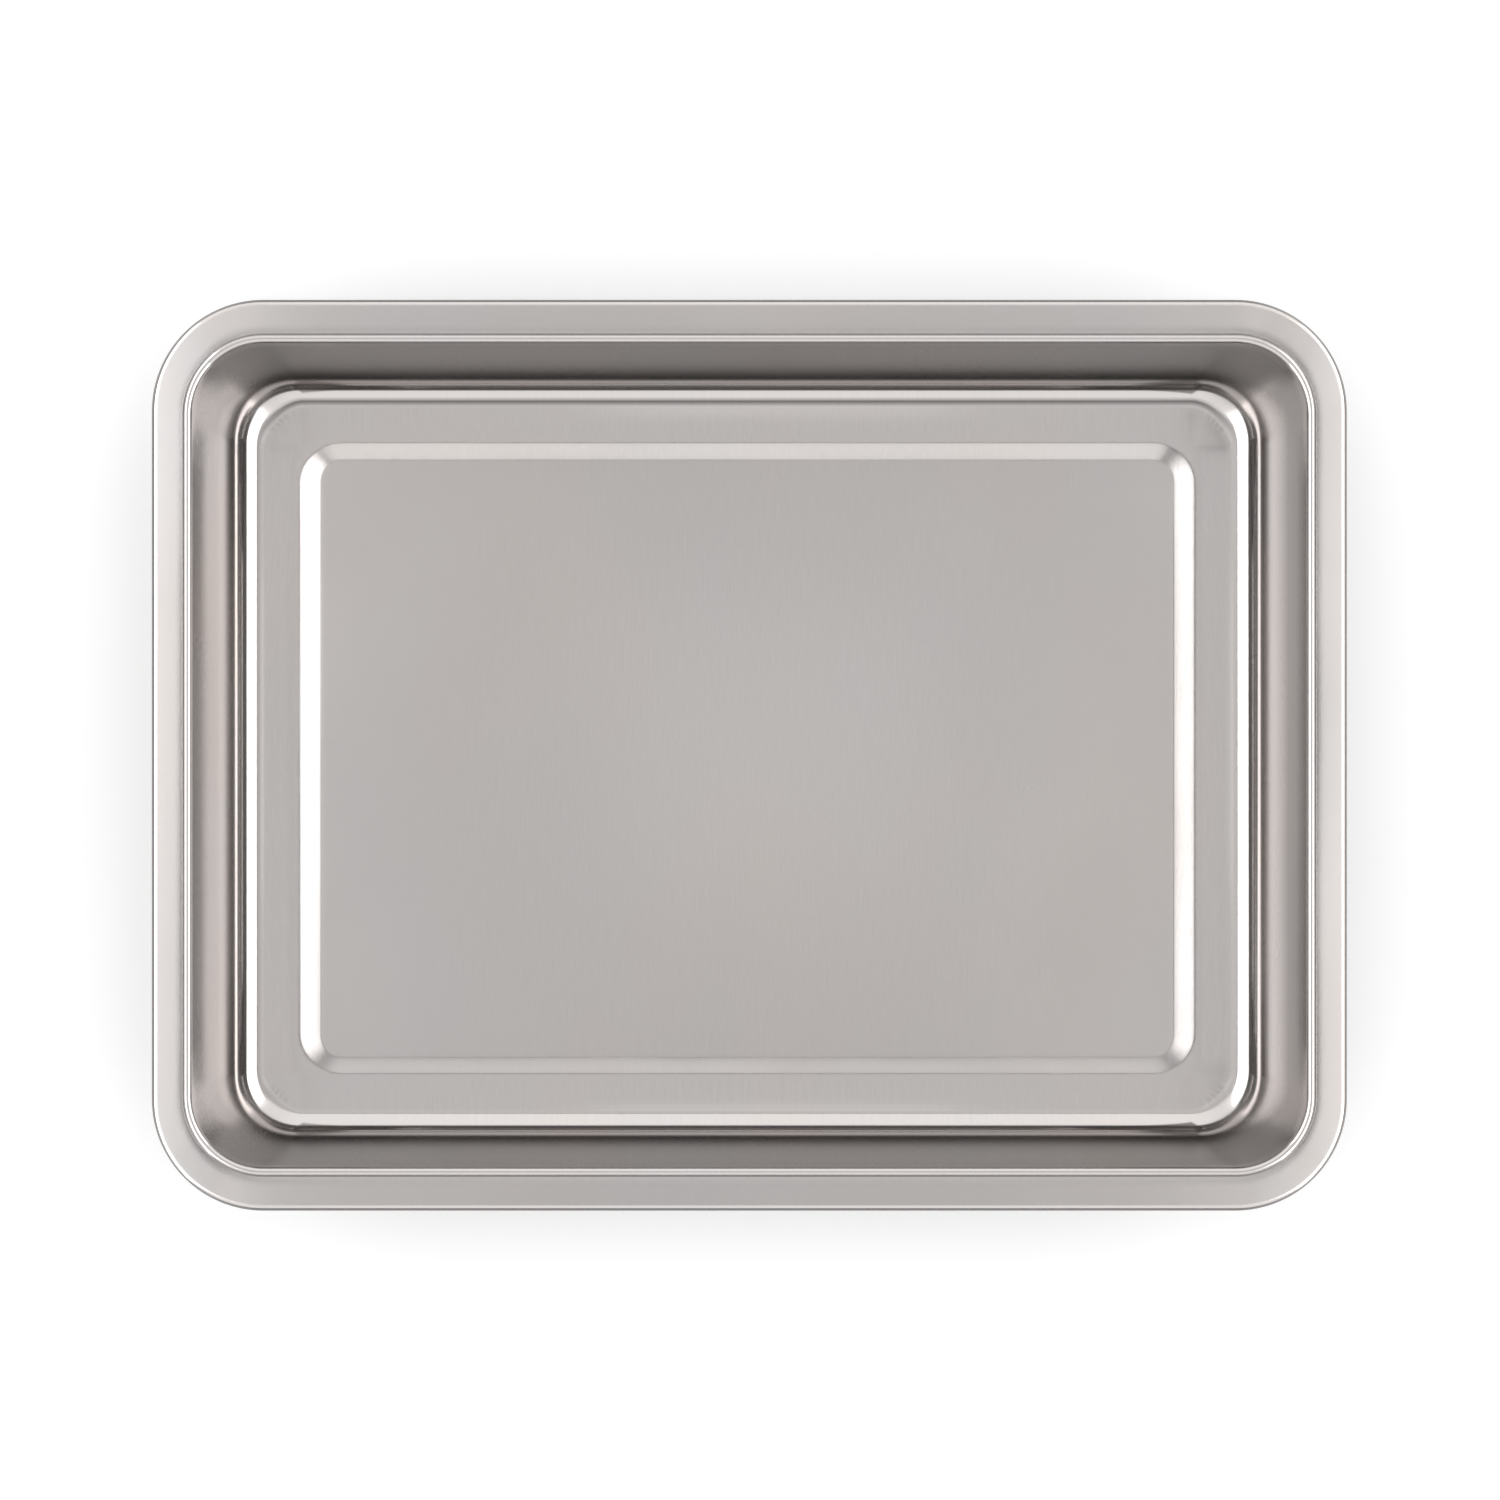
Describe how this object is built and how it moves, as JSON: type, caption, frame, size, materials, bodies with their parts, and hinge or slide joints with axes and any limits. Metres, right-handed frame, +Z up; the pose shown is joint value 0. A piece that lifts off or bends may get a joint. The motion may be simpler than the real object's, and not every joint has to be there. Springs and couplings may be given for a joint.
{
  "type": "sheet pan",
  "caption": "Deep rectangular stainless sheet pan with rounded corners, a wide rolled rim and a raised floor panel.",
  "frame": {"origin": "middle of the pan, in the plane of the floor ring's underside that the pan stands on", "axes": "+X along the pan's length, +Y across it, +Z up out of its open top"},
  "size_m": [0.4, 0.305, 0.05],
  "materials": {
    "pan_steel": "satin, finely brushed, with soft mirror lines in the bends",
    "wire_steel": "drawn wire, bare"
  },
  "bodies": {
    "root": {"pan_body": "pan_steel", "rim_wire": "wire_steel"}
  },
  "joints": []
}
